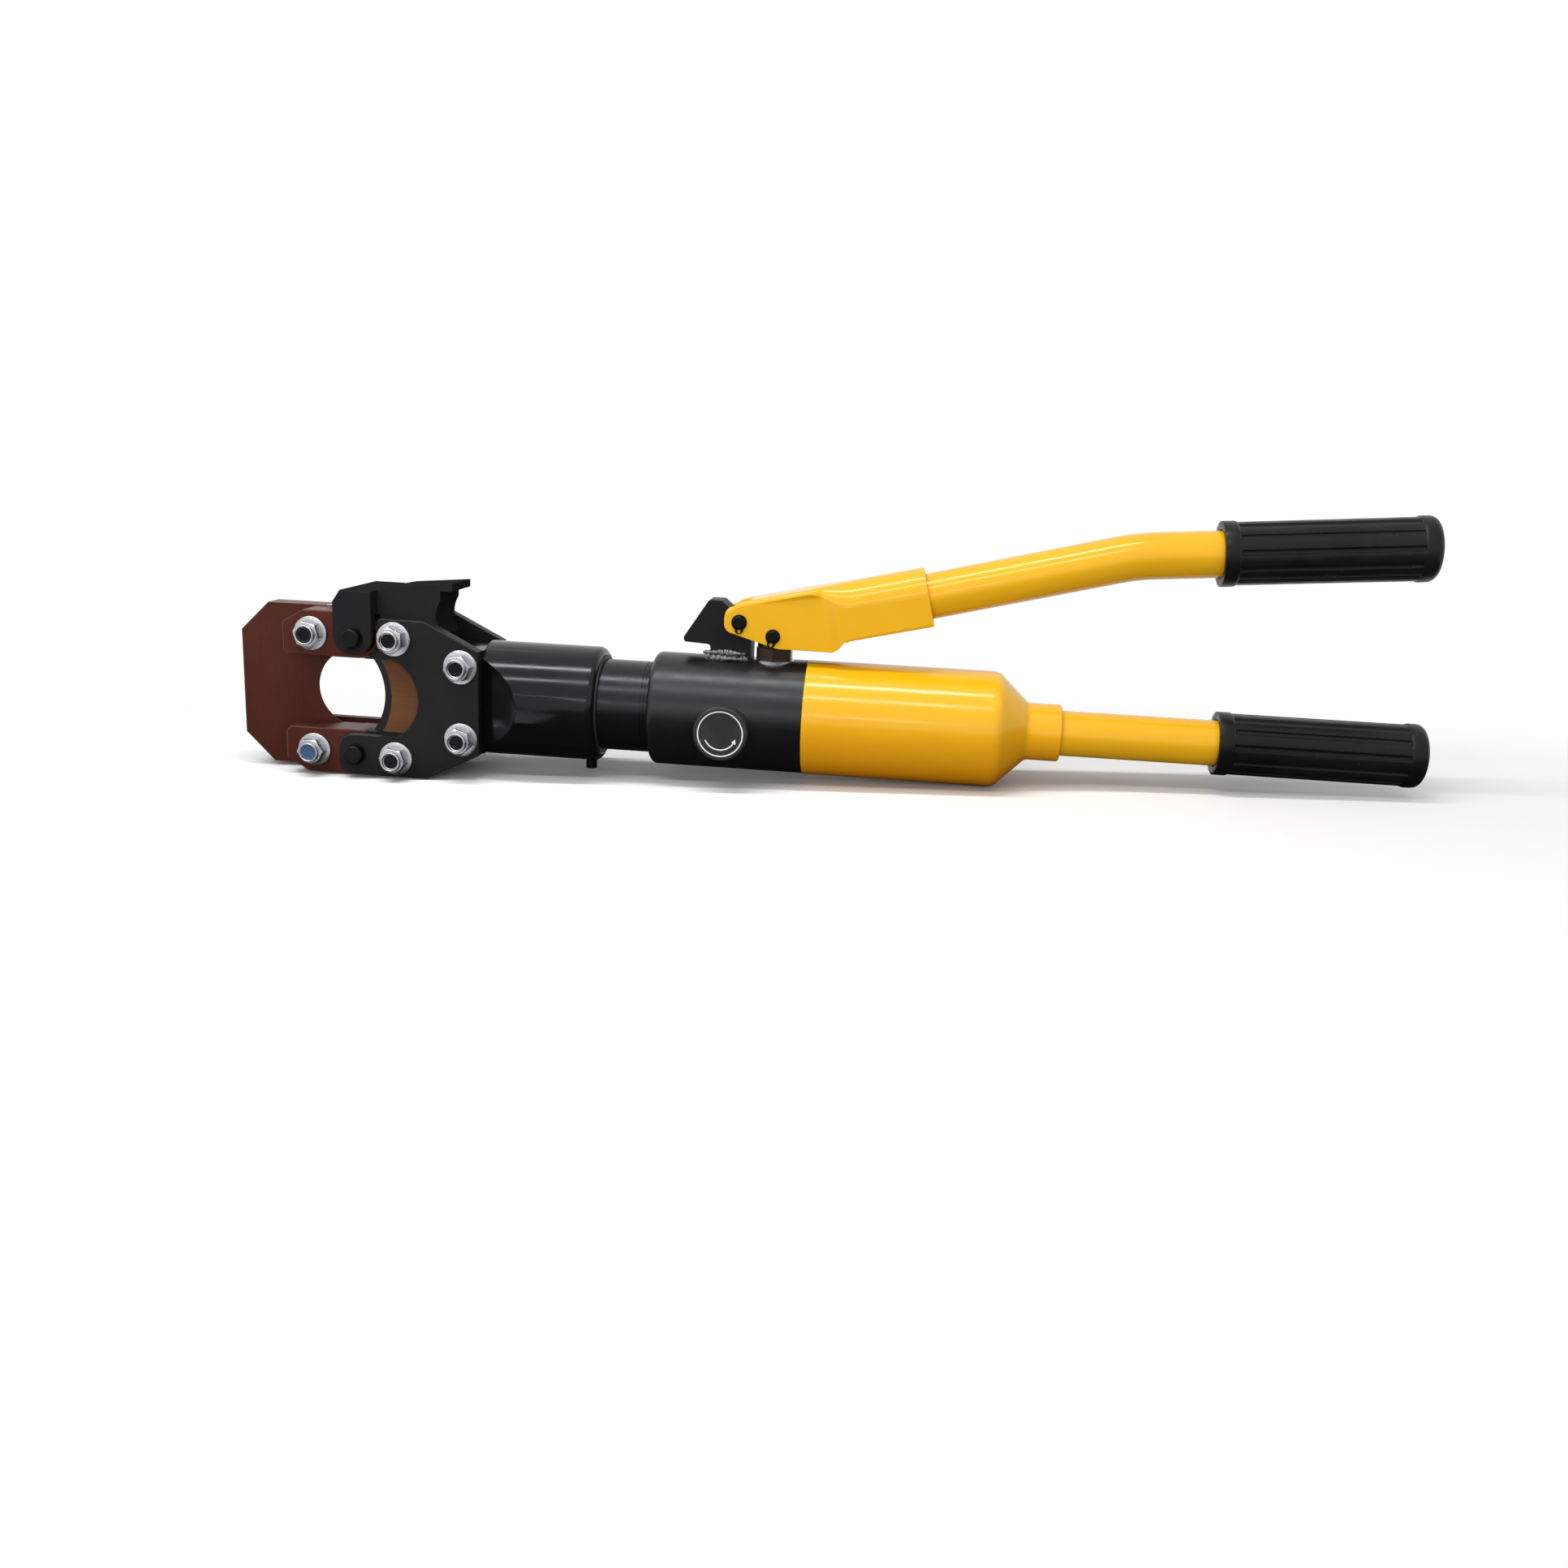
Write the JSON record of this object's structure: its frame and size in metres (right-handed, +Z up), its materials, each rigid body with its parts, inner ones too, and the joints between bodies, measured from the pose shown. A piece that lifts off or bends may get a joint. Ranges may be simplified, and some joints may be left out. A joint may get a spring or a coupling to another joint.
{
  "type": "hydraulic conductor cutter",
  "caption": "Hand-pumped hydraulic conductor cutter: hinged shear jaw with a latch on a swivel head, ram barrel, pump body with release knob, oil reservoir and gripped handles.",
  "frame": {"origin": "on the tool axis, on the bare barrel between the head collar and the pump body", "axes": "+X along the tool axis from the cutting head towards the grips, +Z up towards the pump handle, +Y away from the side with the nuts and the release knob"},
  "size_m": [0.7452, 0.0846, 0.1957],
  "materials": {
    "amber_paint": "gloss amber-yellow enamel",
    "amber_cast": "gloss amber-yellow enamel on a light alloy casting",
    "gloss_black": "gloss black enamel",
    "satin_black": "satin black finish",
    "blade_brown": "dark red-brown lacquer on ground steel",
    "blade_orange": "clear orange-brown lacquer on ground steel",
    "zinc": "bright zinc plate",
    "black_steel": "black oxide steel",
    "bright_steel": "ground steel",
    "brown_steel": "dark oiled steel",
    "weld_metal": "rough weld bead",
    "spring_steel": "spring wire",
    "insert_nylon": "black nylon ring",
    "seal_plastic": "seal ring",
    "brass": "turned brass",
    "black_rubber": "semi-gloss black rubber",
    "soft_rubber": "matt black rubber"
  },
  "bodies": {
    "pump_unit": {"ram_barrel": "gloss_black", "pump_body": "gloss_black", "delivery_retainer": "brass", "delivery_spring": "spring_steel", "relief_spring": "spring_steel", "relief_screw": "bright_steel", "suction_filter": "brass", "reservoir_oring": "soft_rubber", "plunger_gland": "brown_steel", "gland_washer": "bright_steel", "plunger_seal": "seal_plastic", "handle_post": "satin_black", "post_weld": "weld_metal", "reservoir_housing": "amber_cast", "oil_bladder": "soft_rubber", "fixed_handle_tube": "amber_paint", "fixed_handle_grip": "black_rubber", "return_spring": "spring_steel"},
    "head": {"head_collar": "gloss_black", "collar_wiper": "soft_rubber", "swivel_screw": "black_steel", "front_side_plate": "satin_black", "rear_side_plate": "satin_black", "upper_guide_block": "satin_black", "lower_guide_block": "satin_black", "yoke_bolts": "black_steel", "yoke_nuts": "zinc", "yoke_nut_inserts": "insert_nylon", "hinge_pin": "black_steel", "hinge_pin_clips": "black_steel"},
    "jaw": {"fixed_blade": "blade_brown", "upper_front_link": "blade_brown", "lower_front_link": "blade_brown", "upper_rear_link": "blade_brown", "lower_rear_link": "blade_brown", "jaw_bolts": "black_steel", "jaw_nuts": "zinc", "jaw_nut_inserts": "insert_nylon", "latch_pin": "black_steel", "latch_pin_clips": "black_steel", "latch_spring": "spring_steel"},
    "latch": {"latch_lever": "satin_black"},
    "ram": {"moving_blade": "blade_orange", "blade_screws": "black_steel", "ram_piston": "bright_steel", "piston_seal": "seal_plastic"},
    "release_valve": {"release_knob": "gloss_black", "release_needle": "bright_steel"},
    "pump_handle": {"handle_bracket": "amber_paint", "handle_tube": "amber_paint", "handle_grip": "black_rubber", "pivot_pin": "black_steel", "pivot_pin_clips": "black_steel", "plunger_pin": "black_steel", "plunger_pin_clips": "black_steel"},
    "plunger": {"pump_plunger": "brown_steel"},
    "suction_check": {"suction_ball": "bright_steel"},
    "delivery_check": {"delivery_ball": "bright_steel"},
    "relief_check": {"relief_ball": "bright_steel"}
  },
  "joints": [
    {"name": "head_swivel", "type": "hinge", "parent": "pump_unit", "child": "head", "pos_m": [0, 0, 0], "axis": [1, 0, 0], "continuous": true},
    {"name": "jaw_hinge", "type": "hinge", "parent": "head", "child": "jaw", "pos_m": [-0.167, 0, -0.037], "axis": [0, -1, 0], "range_deg": [0, 90]},
    {"name": "latch_hinge", "type": "hinge", "parent": "jaw", "child": "latch", "pos_m": [-0.167, 0, 0.037], "axis": [0, -1, 0], "range_deg": [0, 22], "stiffness_Nm_per_rad": 0.8, "springref_deg": -22.92},
    {"name": "blade_slide", "type": "slide", "parent": "head", "child": "ram", "axis": [-1, 0, 0], "range_m": [0, 0.053], "stiffness_N_per_m": 7100, "springref_m": -0.024, "deforming": ["return_spring"]},
    {"name": "handle_hinge", "type": "hinge", "parent": "pump_unit", "child": "pump_handle", "pos_m": [0.0734, 0, 0.059], "axis": [0, -1, 0], "range_deg": [0, 50]},
    {"name": "plunger_slide", "type": "slide", "parent": "pump_unit", "child": "plunger", "axis": [0, 0, 1], "range_m": [0, 0.01888]},
    {"name": "release_turn", "type": "hinge", "parent": "pump_unit", "child": "release_valve", "pos_m": [0.068, 0, -0.0055], "axis": [0, -1, 0], "range_deg": [0, 90]},
    {"name": "suction_lift", "type": "slide", "parent": "pump_unit", "child": "suction_check", "axis": [0, 0, 1], "range_m": [0, 0.0015]},
    {"name": "delivery_lift", "type": "slide", "parent": "pump_unit", "child": "delivery_check", "axis": [-1, 0, 0], "range_m": [0, 0.0015], "stiffness_N_per_m": 500, "springref_m": -0.004, "deforming": ["delivery_spring"]},
    {"name": "relief_lift", "type": "slide", "parent": "pump_unit", "child": "relief_check", "axis": [0, 0, -1], "range_m": [0, 0.001], "stiffness_N_per_m": 2000, "springref_m": -0.005, "deforming": ["relief_spring"]}
  ],
  "couplings": [
    {"joint": "plunger_slide", "follows": "handle_hinge", "m_per_rad": 0.021633}
  ]
}
